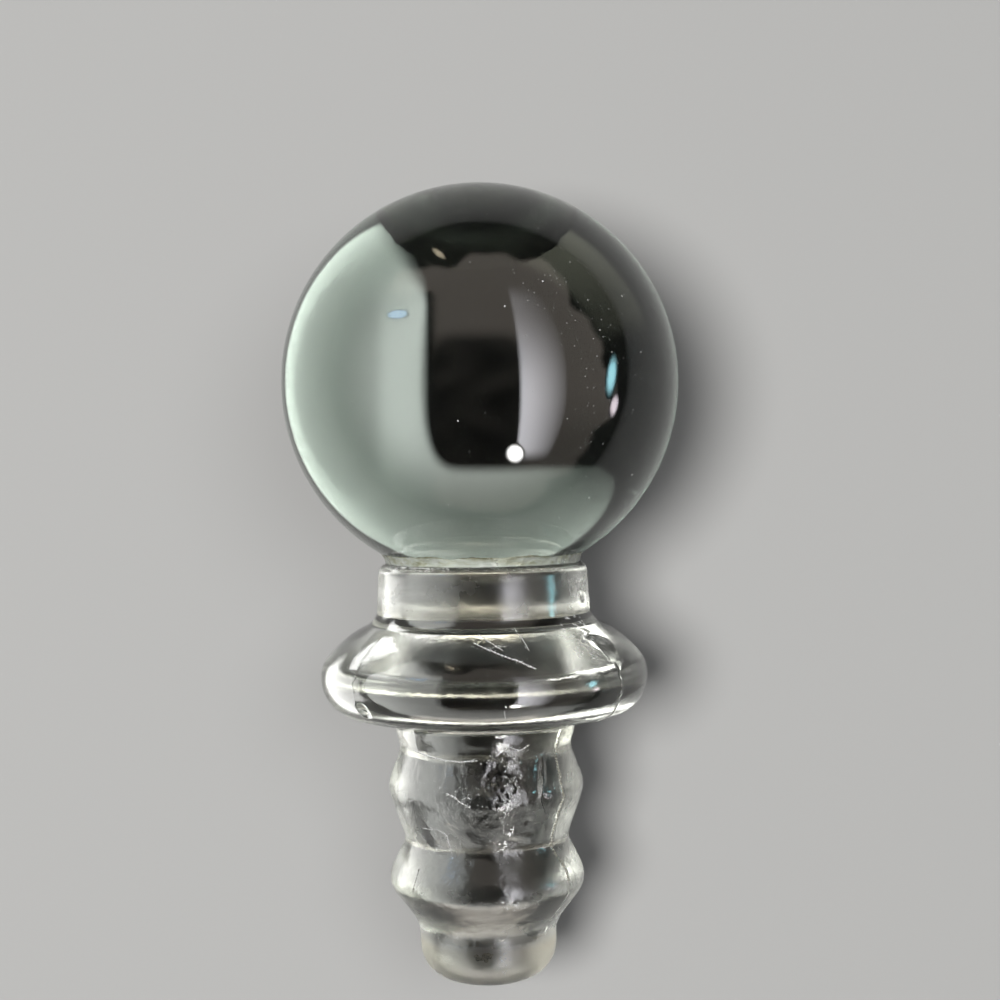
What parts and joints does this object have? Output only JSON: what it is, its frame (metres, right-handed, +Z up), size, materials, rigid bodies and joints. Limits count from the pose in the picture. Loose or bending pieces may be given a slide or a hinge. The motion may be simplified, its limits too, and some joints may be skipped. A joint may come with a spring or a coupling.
{
  "type": "glass stopper",
  "caption": "Decanter stopper lying on its side: a solid ball of pale green glass bonded to a clear pressed base with a collar, a lens-shaped flange and a ribbed plug.",
  "frame": {"origin": "on the floor that the stopper lies on, under the middle of its bounding box", "axes": "+Z up, +Y along the floor from the end of the plug to the ball, +X to the right. The stopper's own axis lies in the YZ plane and rises towards the ball by about 6.9 degrees, because the ball and the flange's rim both touch the floor"},
  "size_m": [0.038, 0.0764, 0.038],
  "materials": {
    "ball_glass": "polished pale green glass, with a few seeds",
    "base_glass": "colourless pressed glass, with mould seams, chill wrinkles and chips",
    "adhesive": "clear adhesive gone slightly olive, with an uneven edge"
  },
  "bodies": {
    "root": {"ball_knob": "ball_glass", "plug_base": "base_glass", "bond_bead": "adhesive"}
  },
  "joints": []
}
